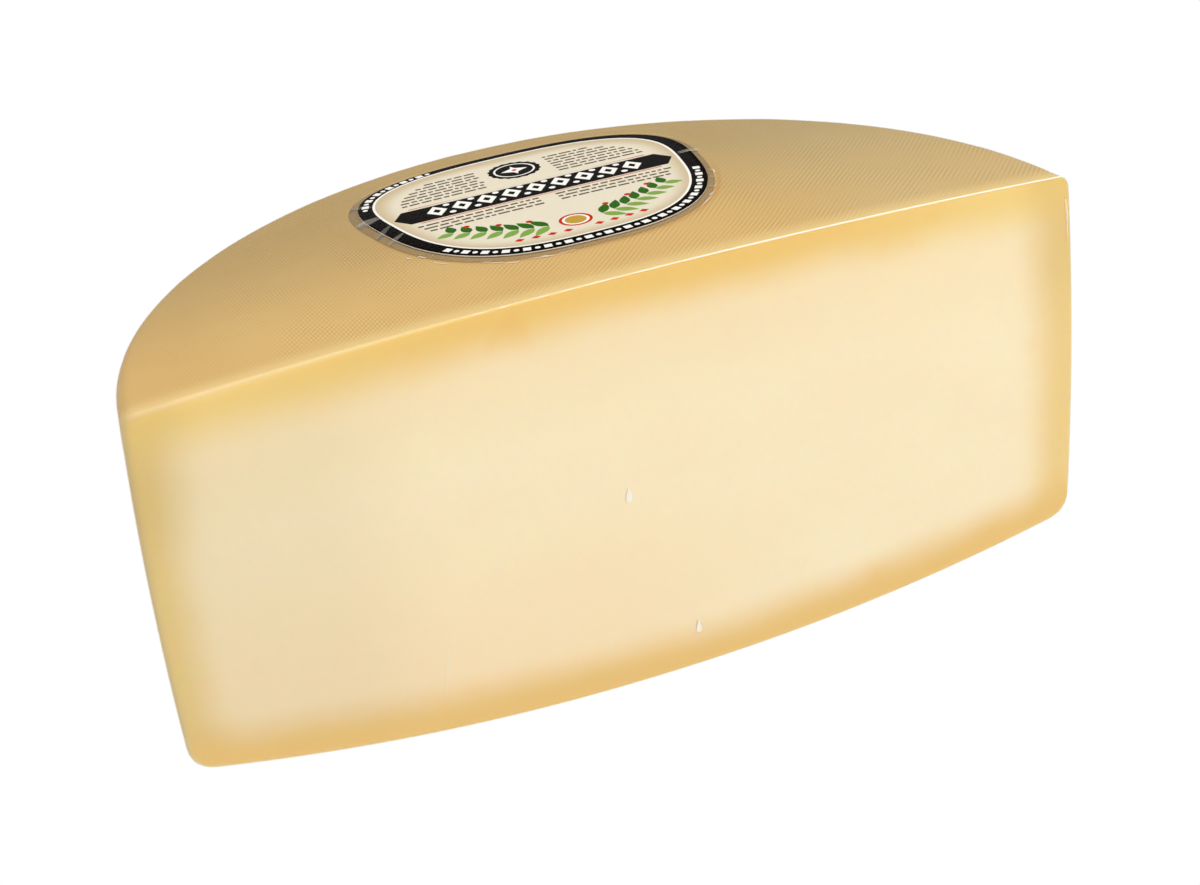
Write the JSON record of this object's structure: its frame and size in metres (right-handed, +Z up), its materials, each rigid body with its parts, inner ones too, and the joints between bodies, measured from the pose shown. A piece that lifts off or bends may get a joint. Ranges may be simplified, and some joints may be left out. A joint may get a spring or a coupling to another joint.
{
  "type": "parmesan half wheel",
  "caption": "Half wheel of hard golden grating cheese with a domed cloth-marked rind, a flat cut face and an egg-shaped paper label on top, sealed in clear film.",
  "frame": {"origin": "middle of the bounding box's underside, on the surface that the half wheel rests on", "axes": "+Z up, the diameter of the cut along X, the cut face towards -Y"},
  "size_m": [0.306, 0.162, 0.1446],
  "materials": {
    "cheese": "tan cloth-marked rind and an ivory to golden cut face, glossy under tight clear film",
    "label": "cream printed paper with a black rim, satin",
    "film": "thin clear film, glossy"
  },
  "bodies": {
    "root": {"cheese": "cheese", "label": "label"}
  },
  "joints": []
}
